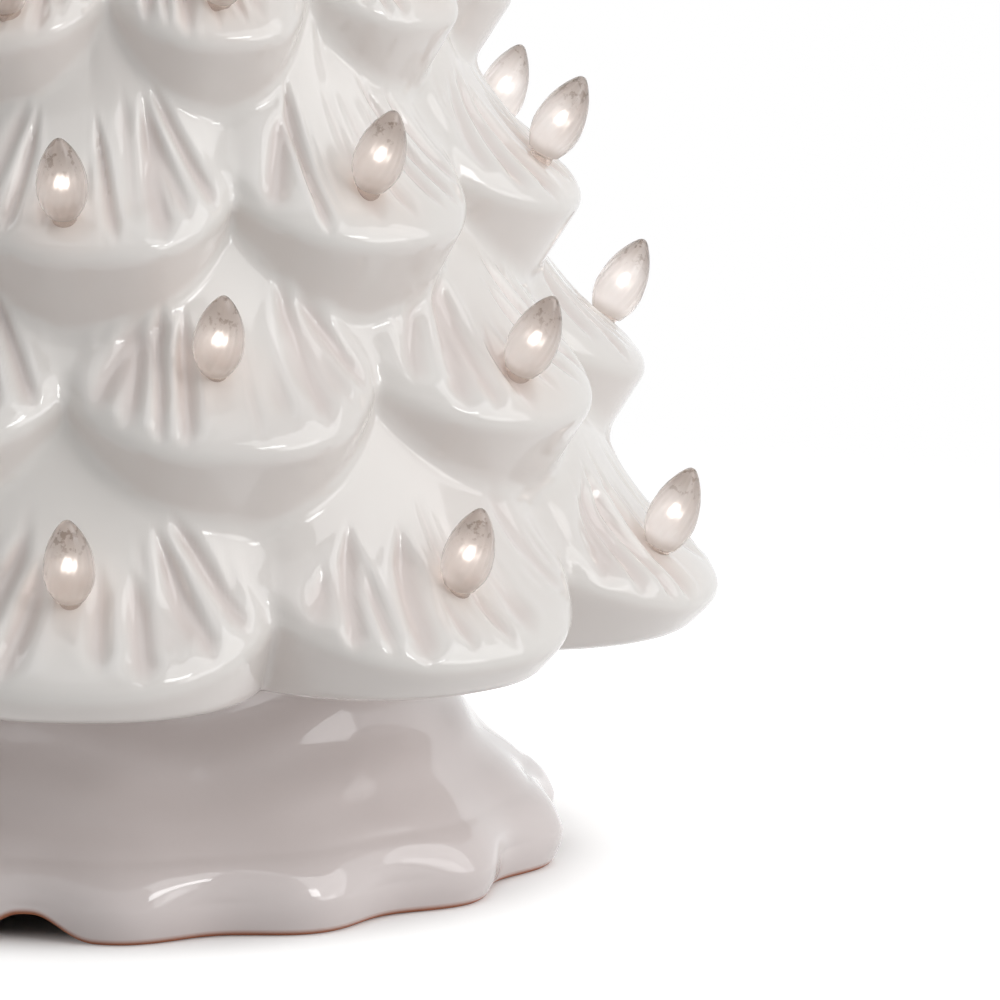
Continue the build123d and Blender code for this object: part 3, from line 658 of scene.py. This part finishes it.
def baseRadius(turns, heights):
    form = baseForm
    swell = form["neck"] + form["flare"] * np.exp((form["roll"] - heights) / form["flareHeight"])
    flare = smallerOf(swell, form["neck"] + form["flare"], form["flare"] / 4)
    middle = form["roll"] / 2
    bulge = 1 - ((heights - middle) / form["rollRadius"]) ** 2
    bulge = np.where(bulge > 0, np.sqrt(np.maximum(bulge, 0)), bulge)
    roll = form["rollCentre"] + form["rollRadius"] * bulge
    fade = np.exp(-np.maximum(heights - middle, 0) / form["scallopFade"])
    wave = form["scallop"] * fade * np.cos(np.radians(form["scallops"] * turns))
    return largerOf(flare, roll, form["rollBlend"]) + wave


def baseRipple(turns, heights):  # faint uneven rings left by hand in the flare
    form = baseForm
    fade = ease((heights - form["roll"]) / form["rippleFade"])
    fade = fade * ease((form["top"] - heights) / form["rippleFade"])
    drift = sum(
        swing * np.sin(np.radians(waves * turns + start)) for swing, waves, start in form["rippleDrift"]
    )
    return form["ripple"] * fade * np.sin(2 * np.pi * heights / form["rippleLength"] + drift)


def buildBase():
    form = baseForm
    turns = 360 * np.arange(form["columns"]) / form["columns"]
    foot = np.zeros_like(turns)
    for valley in form["archValleys"]:
        gap = np.radians(np.mod(turns - 360 * valley / form["scallops"] + 180, 360) - 180)
        beside = baseRadius(turns, form["archLevel"]) * np.sin(gap) / form["archHalf"]
        arch = form["archHeight"] * ease(form["archEnd"] - np.abs(beside))
        arch = arch * np.maximum(1 - beside ** 2 / form["archWide"], 0)
        foot = np.maximum(foot, np.where(np.cos(gap) > 0, arch, 0))
    shares = np.linspace(0, 1, form["rows"]) ** form["rowPower"]
    heights = foot[None, :] + (form["top"] - foot[None, :]) * shares[:, None]
    radius = baseRadius(turns[None, :], heights) + baseRipple(turns[None, :], heights)
    low = np.clip(1 - (heights - foot[None, :]) / form["edgeRound"], 0, 1)
    radius = radius - form["edgeRound"] * (1 - np.sqrt(1 - low ** 2))
    top, deckLow = form["top"], form["top"] - form["deck"]
    rings = [atTurn(turns, row, height) for row, height in zip(radius, heights)]
    outer = len(rings)
    collar, hole = form["collar"], form["hole"]
    rim, rimTop = collar - form["collarWall"], top + form["collarHeight"]
    bend, edge, corner, step = form["rimRound"], form["holeEdge"], form["cornerEdge"], form["collarEdge"]
    # across the deck, over the collar and down through the hole
    stops = [
        ((3 * collar + 2 * radius[-1]) / 5, top), (collar + step, top), (collar, top + step),
        (collar, rimTop - bend), (collar - bend, rimTop), (rim + bend, rimTop), (rim, rimTop - bend),
        (rim, top + corner), (rim - corner, top), (hole + edge, top), (hole, top - edge),
        (hole, deckLow + edge), (hole + edge, deckLow),
    ]
    rings += [atTurn(turns, reach, height) for reach, height in stops]
    innerTop = deckLow - corner
    for share in form["innerShares"]:
        height = innerTop + (foot + corner - innerTop) * share
        rings.append(atTurn(turns, baseRadius(turns, height) - form["wall"], height))
    rings.append(atTurn(turns, baseRadius(turns, foot) - form["wall"] + edge, foot))
    rings.append(atTurn(turns, baseRadius(turns, foot) - form["edgeRound"] - corner, foot))
    mesh = turnedMesh("baseGlazed", rings, "loop")
    mesh.set_sharp_from_angle(angle=sharpAngle)
    mesh.materials.append(baseGlazeShaded)
    full = np.zeros((len(rings), len(turns)))
    full[:outer] = 1 - ease((heights - foot[None, :]) / form["bareHeight"] - form["bareStart"])
    full[-3:] = 1  # the flat of the foot
    paint(mesh, "bare", full)
    # painted shade: the base's glaze darkens towards its top, under the tree's overhang
    full = np.zeros((len(rings), len(turns)))
    full[:outer] = ease((heights - form["neckShadeLow"]) / form["neckShadeSpan"]) * form["poolAndShadeShare"]
    paint(mesh, "poolAndShade", full)
    placePiece(mesh, "base", "base_glaze", "base_shell")
    print("base built:", len(mesh.polygons), "faces")


buildBase()


# clear twist bulbs on their pegs

bulbForm = dict(
    radius=4.75, height=15.9, neck=3.1, lift=1.7, pegRadius=2.3, pegLength=9.5,
    radiusShares=(0.92, 1.0, 0.86, 0.5), heightShares=(0.14, 0.34, 0.6, 0.85),
    pegEdge=0.4, pegTop=0.9, guideLow=1.9, neckLow=0.5, tipRadius=0.12,
    rimShadeShare=0.14, tipStart=0.5, tipSpan=0.4,
    columns=72, steps=6, ribs=18, ribDepth=0.018, twist=50.0,
    boreRadius=0.85, boreLow=7.2, boreHigh=10.0, boreFoot=0.3, boreBend=(0.5, 0.4), boreTip=0.1,
    bodyShare=0.3,
)
bulbLook = dict(
    tone=rgb(0.93, 0.87, 0.835), tint=rgb(0.9, 0.81, 0.765), deep=rgb(0.42, 0.34, 0.29),
    grain=260.0, haze=0.5, coat=0.8, strength=0.35, relief=0.0002,
)
pegLook = dict(
    tone=rgb(0.8, 0.69, 0.62), tint=rgb(0.7, 0.57, 0.5), deep=rgb(0.5, 0.38, 0.32),
    grain=300.0, haze=0.2, coat=0.3, strength=0.2, relief=0.0003,
)
# painted light: the bore's emission stands in for the LED light reaching each bulb
boreGlowLook = dict(tone=rgb(0.9, 0.86, 0.82), light=rgb(1.0, 0.93, 0.87), strength=1.8, rough=0.5)
clearIor, clearCoatRough = 1.47, 0.03


def makeClear(name, look):
    material, tree, shader = newFinish(name)
    out = useGroup(
        tree, clearGroup, Tone=look["tone"], Tint=look["tint"], Deep=look["deep"],
        Grain=look["grain"], Haze=look["haze"],
    )
    feed(tree, shader, Base_Color=out["Color"], Roughness=out["Roughness"], Transmission_Weight=1.0)
    feed(tree, shader, IOR=clearIor, Coat_Weight=look["coat"], Coat_Roughness=clearCoatRough)
    addRelief(tree, shader, out["Height"], look["strength"], look["relief"])
    return material


bulbClear = makeClear("bulbClear", bulbLook)
bulbPeg = makeClear("bulbPeg", pegLook)
bulbBoreGlow, boreTree, boreShader = newFinish("bulbBoreGlow")  # the bore up the middle of each bulb glows with painted light, an emission standing in for the LED light carried up the peg
feed(boreTree, boreShader, Base_Color=boreGlowLook["tone"], Emission_Color=boreGlowLook["light"])
feed(boreTree, boreShader, Emission_Strength=boreGlowLook["strength"], Roughness=boreGlowLook["rough"])


def bulbProfile():  # radius and height along the bulb's own axis, from the peg's foot to the tip
    form = bulbForm
    lift, foot, thick = form["lift"], form["lift"] - form["pegLength"], form["pegRadius"]
    peg = [(thick - form["pegEdge"], foot), (thick, foot + form["pegEdge"]), (thick, lift - form["pegTop"])]
    shares = zip(form["radiusShares"], form["heightShares"])
    flank = [(form["radius"] * across, lift + form["height"] * along) for across, along in shares]
    tip = (form["tipRadius"], lift + form["height"])
    guide = [(thick, lift - form["guideLow"]), (form["neck"], lift - form["neckLow"])]
    guide += flank + [tip, (-flank[-1][0], flank[-1][1])]
    return peg, softCurve(guide, form["steps"])


def buildBulbs(tier):
    form = bulbForm
    peg, glass = bulbProfile()
    profile = np.vstack([peg, glass])
    around = 2 * np.pi * np.arange(form["columns"]) / form["columns"]
    share = np.clip((profile[:, 1] - form["lift"]) / form["height"], 0, 1)[:, None]
    ribs = np.cos(form["ribs"] * (around[None, :] - np.radians(form["twist"]) * share))
    radius = profile[:, :1] * (1 + form["ribDepth"] * ribs * np.sqrt(np.sin(np.pi * share) + 1e-6))
    low, high, bore = form["boreLow"], form["boreHigh"], form["boreRadius"]
    bendWide, bendLow = form["boreBend"]
    core = np.array([  # blunt below, pointed above
        (form["boreFoot"] * bore, low), (bore, low + bore), (bore, high - 2 * bore),
        (bendWide * bore, high - bendLow * bore), (form["boreTip"], high),
    ])
    shapes = ((profile, radius), (core, core[:, :1] + 0 * around[None, :]))
    turns, reaches, heights, lean = bulbSeats(tier)
    lean = np.radians(lean)
    points, faces, kinds, tips, rimShades = [], [], [], [], []
    for turn, reach, height in zip(turns, reaches, heights):
        up = atTurn(turn, np.sin(lean), np.cos(lean))
        side = atTurn(turn + 90, 1.0, 0.0)
        front = np.cross(up, side)
        for line, rounds in shapes:
            rings = atTurn(turn, reach, height) + line[:, 1][:, None, None] * up
            rings = rings + (rounds * np.cos(around))[..., None] * side
            rings = rings + (rounds * np.sin(around))[..., None] * front
            part = turnedMesh("bulbPart", rings, "caps")
            own = np.full(len(part.polygons), 2)  # 0 bulb, 1 peg, 2 bore glowing with painted light
            along = np.full(len(part.vertices), form["bodyShare"])
            if line is profile:
                own[:] = 0
                own[:len(peg) * form["columns"]] = 1
                own[(len(profile) - 1) * form["columns"]:len(profile) * form["columns"]] = 1  # its end
                along = np.repeat((line[:, 1] - form["lift"]) / form["height"], form["columns"])
                along = np.append(along, (along[0], along[-1]))
            tips.append(ease((along - form["tipStart"]) / form["tipSpan"]))
            # painted shadow mask: dark at the bulb's foot and over the whole peg
            rimShades.append(1 - ease(along / form["rimShadeShare"]))
            faces += [[corner + len(points) for corner in face.vertices] for face in part.polygons]
            points += [vertex.co[:] for vertex in part.vertices]
            kinds.append(own)
            bpy.data.meshes.remove(part)
    mesh = bpy.data.meshes.new(f"bulbsTier{tier + 1}")
    mesh.from_pydata(points, [], faces)
    mesh.shade_smooth()
    for material in (bulbClear, bulbPeg, bulbBoreGlow):
        mesh.materials.append(material)
    mesh.polygons.foreach_set("material_index", np.concatenate(kinds).astype(np.int32))
    paint(mesh, "tip", np.concatenate(tips))
    paint(mesh, "rim", np.concatenate(rimShades))
    placePiece(mesh, "tree", "bulb_clear", f"bulbs_tier_{tier + 1}")


for tierNumber in range(len(bulbPlan["rises"])):
    buildBulbs(tierNumber)
print("bulbs built on", len(bulbPlan["rises"]), "tiers")


# finishes of the light unit, the star and the small parts, on the solids themselves

starLook = dict(
    tone=rgb(0.97, 0.92, 0.885), tint=rgb(0.94, 0.87, 0.82), deep=rgb(0.7, 0.62, 0.57),
    grain=160.0, haze=0.12, coat=0.5, strength=0.2, relief=0.0006,
)
ledLook = dict(
    tone=rgb(1.0, 0.97, 0.86), tint=rgb(0.98, 0.9, 0.7), deep=rgb(0.9, 0.8, 0.6),
    grain=500.0, haze=0.03, coat=0.0, strength=0.1, relief=0.0002,
)
plasticRelief = dict(strength=0.25, depth=0.0001)
metalRelief = dict(strength=0.2, depth=0.00005)


def plasticLook(tone, deep, grain, gloss):
    return dict(tone=tone, deep=deep, grain=grain, gloss=gloss)


plasticLooks = {
    "light_housing": plasticLook(rgb(0.74, 0.74, 0.72), rgb(0.66, 0.66, 0.645), 1400.0, 0.36),
    "housing_lock_ring": plasticLook(rgb(0.70, 0.70, 0.69), rgb(0.62, 0.62, 0.61), 1200.0, 0.4),
    "battery_door": plasticLook(rgb(0.72, 0.72, 0.70), rgb(0.64, 0.64, 0.625), 1400.0, 0.38),
    "diffuser_dome": plasticLook(rgb(0.88, 0.86, 0.80), rgb(0.82, 0.79, 0.72), 700.0, 0.32),
    "battery_cradle": plasticLook(rgb(0.05, 0.05, 0.052), rgb(0.03, 0.03, 0.032), 1500.0, 0.5),
    "switch_body": plasticLook(rgb(0.045, 0.045, 0.045), rgb(0.03, 0.03, 0.03), 1500.0, 0.45),
    "switch_knob": plasticLook(rgb(0.035, 0.035, 0.037), rgb(0.02, 0.02, 0.022), 1800.0, 0.35),
    "flange_gasket": plasticLook(rgb(0.05, 0.05, 0.05), rgb(0.085, 0.083, 0.08), 2600.0, 0.85),
    "led_board": plasticLook(rgb(0.70, 0.72, 0.68), rgb(0.62, 0.65, 0.6), 1000.0, 0.33),
    "lead_red": plasticLook(rgb(0.42, 0.02, 0.015), rgb(0.33, 0.012, 0.01), 1500.0, 0.4),
    "lead_black": plasticLook(rgb(0.02, 0.02, 0.02), rgb(0.012, 0.012, 0.012), 1500.0, 0.4),
}
metalLooks = {
    "board_screws": dict(tone=rgb(0.62, 0.62, 0.63), dull=rgb(0.48, 0.47, 0.46), gloss=0.3),
    "door_pin": dict(tone=rgb(0.6, 0.6, 0.61), dull=rgb(0.47, 0.46, 0.45), gloss=0.28),
    "plate_contacts": dict(tone=rgb(0.73, 0.72, 0.70), dull=rgb(0.6, 0.57, 0.52), gloss=0.24),
    "spring_contacts": dict(tone=rgb(0.72, 0.71, 0.69), dull=rgb(0.58, 0.55, 0.5), gloss=0.26),
}
cellLook = dict(  # places in metres from the middle of the light unit
    sleeve=rgb(0.06, 0.065, 0.075), band=rgb(0.55, 0.33, 0.12), deep=rgb(0.04, 0.043, 0.05),
    grain=300.0, gloss=0.3, middleHalf=0.0074, bandStart=0.0105, bandMetal=0.8,
    strength=0.1, relief=0.0001,
)


def makePlastic(name, look):
    material, tree, shader = newFinish(name)
    out = useGroup(
        tree, plasticGroup, Tone=look["tone"], Deep=look["deep"],
        Grain=look["grain"], Gloss=look["gloss"],
    )
    feed(tree, shader, Base_Color=out["Color"], Roughness=out["Roughness"])
    addRelief(tree, shader, out["Height"], plasticRelief["strength"], plasticRelief["depth"])
    return material


def dressNode(node, material):
    target = cadNodes[node]
    target.data.materials.clear()
    target.data.materials.append(material)


for node, look in plasticLooks.items():
    dressNode(node, makePlastic(node + "Finish", look))
for node, look in metalLooks.items():
    material, tree, shader = newFinish(node + "Finish")
    out = useGroup(tree, metalGroup, Tone=look["tone"], Dull=look["dull"], Gloss=look["gloss"])
    feed(tree, shader, Base_Color=out["Color"], Roughness=out["Roughness"], Metallic=1.0)
    addRelief(tree, shader, out["Height"], metalRelief["strength"], metalRelief["depth"])
    dressNode(node, material)
dressNode("star_topper", makeClear("starClear", starLook))
dressNode("leds", makeClear("ledClear", ledLook))


def makeCellFinish():  # dark sleeves with a copper band at each nub end, the middle cell turned round
    material, tree, shader = newFinish("cellSleeve")
    spot = addNode(tree, "ShaderNodeSeparateXYZ")
    tree.links.new(addNode(tree, "ShaderNodeTexCoord").outputs["Object"], spot.inputs[0])
    look = cellLook
    outside = calc(tree, "GREATER_THAN", calc(tree, "ABSOLUTE", spot.outputs[0]), look["middleHalf"])
    facing = spread(tree, outside, 0.0, 1.0, -1.0, 1.0)
    band = calc(tree, "GREATER_THAN", calc(tree, "MULTIPLY", spot.outputs[1], facing), look["bandStart"])
    out = useGroup(
        tree, plasticGroup, Tone=look["sleeve"], Deep=look["deep"],
        Grain=look["grain"], Gloss=look["gloss"],
    )
    colour = blendColours(tree, band, out["Color"], look["band"])
    metal = calc(tree, "MULTIPLY", band, look["bandMetal"])
    feed(tree, shader, Base_Color=colour, Roughness=out["Roughness"], Metallic=metal)
    addRelief(tree, shader, out["Height"], look["strength"], look["relief"])
    return material


dressNode("battery_cells", makeCellFinish())
print("finishes set on", len(plasticLooks) + len(metalLooks) + 3, "solids")


# pale floor, soft studio light and camera

floorLook = dict(  # lengths in metres: paper under the foot, lifted beside it, plain white far away
    half=4.0, tone=rgb(0.82, 0.82, 0.82), lift=0.55, footRadius=0.072, liftRadius=0.1,
    nearRadius=0.16, farRadius=0.5,
)
white = rgb(1, 1, 1)
skyLook = dict(ambient=0.385)
lamps = [
    dict(name="keySoftbox", place=(1.5, -0.75, 1.1), aim=(0.02, 0.0, 0.12), size=(1.7, 1.75), power=14.0),
    dict(name="glintSoftbox", place=(1.15, -1.35, 1.0), aim=(0.02, 0.0, 0.12), size=(0.45, 0.3), power=2.5),
    dict(name="sideSoftbox", place=(1.5, -0.95, 0.42), aim=(0.02, 0.0, 0.05), size=(0.8, 0.55), power=1.8),
    dict(name="topSoftbox", place=(-0.1, -0.5, 1.9), aim=(0.0, 0.0, 0.15), size=(1.4, 1.4), power=3.5),
    dict(name="backSoftbox", place=(-1.1, 1.3, 1.2), aim=(0.0, 0.0, 0.15), size=(1.4, 1.4), power=5.0),
]
cameraPlan = dict(place=(0.0, -1.660, 0.368), aim=(0.0745, 0.0146, 0.0658), lens=313.0)


def seenRay(tree):  # 1 for camera, glossy and transmission rays
    path = addNode(tree, "ShaderNodeLightPath").outputs
    both = calc(tree, "MAXIMUM", path["Is Camera Ray"], path["Is Glossy Ray"])
    return calc(tree, "MAXIMUM", both, path["Is Transmission Ray"])


def mixShaders(tree, share, first, second):
    node = addNode(tree, "ShaderNodeMixShader")
    for socket, source in zip(node.inputs, (share, first, second)):
        tree.links.new(source, socket)
    return node.outputs[0]


def softRange(tree, value, fromLow, fromHigh, toHigh):  # eases from 0 up to toHigh
    node = addNode(tree, "ShaderNodeMapRange", interpolation_type="SMOOTHSTEP")
    feed(tree, node, Value=value, From_Min=fromLow, From_Max=fromHigh, To_Max=toHigh)
    return node.outputs[0]


def buildStage():
    mesh = bpy.data.meshes.new("floor")
    half = floorLook["half"]
    corners = [(-half, -half, 0), (half, -half, 0), (half, half, 0), (-half, half, 0)]
    mesh.from_pydata(corners, [], [(0, 1, 2, 3)])
    floor = bpy.data.objects.new("floor", mesh)
    bpy.context.scene.collection.objects.link(floor)
    material = bpy.data.materials.new("floorPaper")
    material.use_nodes = True
    tree = material.node_tree
    tree.nodes.clear()
    paper = feed(tree, addNode(tree, "ShaderNodeBsdfDiffuse"), Color=floorLook["tone"])
    lift = feed(tree, addNode(tree, "ShaderNodeEmission"), Color=white)
    bright = feed(tree, addNode(tree, "ShaderNodeEmission"), Color=white, Strength=1.0)
    length = addNode(tree, "ShaderNodeVectorMath", operation="LENGTH")
    tree.links.new(addNode(tree, "ShaderNodeTexCoord").outputs["Object"], length.inputs[0])
    reach, look = length.outputs["Value"], floorLook
    near = softRange(tree, reach, look["footRadius"], look["liftRadius"], look["lift"])
    tree.links.new(near, lift.inputs["Strength"])
    lifted = addNode(tree, "ShaderNodeAddShader")
    tree.links.new(paper.outputs[0], lifted.inputs[0])
    tree.links.new(lift.outputs[0], lifted.inputs[1])
    fade = softRange(tree, reach, look["nearRadius"], look["farRadius"], 1.0)
    shown = mixShaders(tree, fade, lifted.outputs[0], bright.outputs[0])
    shown = mixShaders(tree, seenRay(tree), paper.outputs[0], shown)
    below = addNode(tree, "ShaderNodeNewGeometry").outputs["Backfacing"]  # clear from there
    shown = mixShaders(tree, below, shown, addNode(tree, "ShaderNodeBsdfTransparent").outputs[0])
    tree.links.new(shown, addNode(tree, "ShaderNodeOutputMaterial").inputs[0])
    mesh.materials.append(material)


def buildSky():
    world = bpy.data.worlds.new("studio")
    world.use_nodes = True
    tree = world.node_tree
    tree.nodes.clear()
    soft = feed(tree, addNode(tree, "ShaderNodeBackground"), Color=white, Strength=skyLook["ambient"])
    bright = feed(tree, addNode(tree, "ShaderNodeBackground"), Color=white, Strength=1.0)
    shown = mixShaders(tree, seenRay(tree), soft.outputs[0], bright.outputs[0])
    tree.links.new(shown, addNode(tree, "ShaderNodeOutputWorld").inputs[0])
    bpy.context.scene.world = world


def aimAt(holder, plan):
    view = Vector(plan["aim"]) - Vector(plan["place"])
    holder.location = plan["place"]
    holder.rotation_euler = view.to_track_quat("-Z", "Y").to_euler()
    bpy.context.scene.collection.objects.link(holder)
    return holder


def buildLamps():
    for plan in lamps:
        lamp = bpy.data.lights.new(plan["name"], "AREA")
        lamp.shape = "RECTANGLE"
        lamp.size, lamp.size_y = plan["size"]
        lamp.energy = plan["power"]
        aimAt(bpy.data.objects.new(plan["name"], lamp), plan)


def buildCamera():
    lens = bpy.data.cameras.new("camera")
    lens.lens = cameraPlan["lens"]
    bpy.context.scene.camera = aimAt(bpy.data.objects.new("camera", lens), cameraPlan)


buildStage()
buildSky()
buildLamps()
buildCamera()
bpy.context.scene.view_settings.view_transform = "Standard"
print("stage, lamps and camera set")
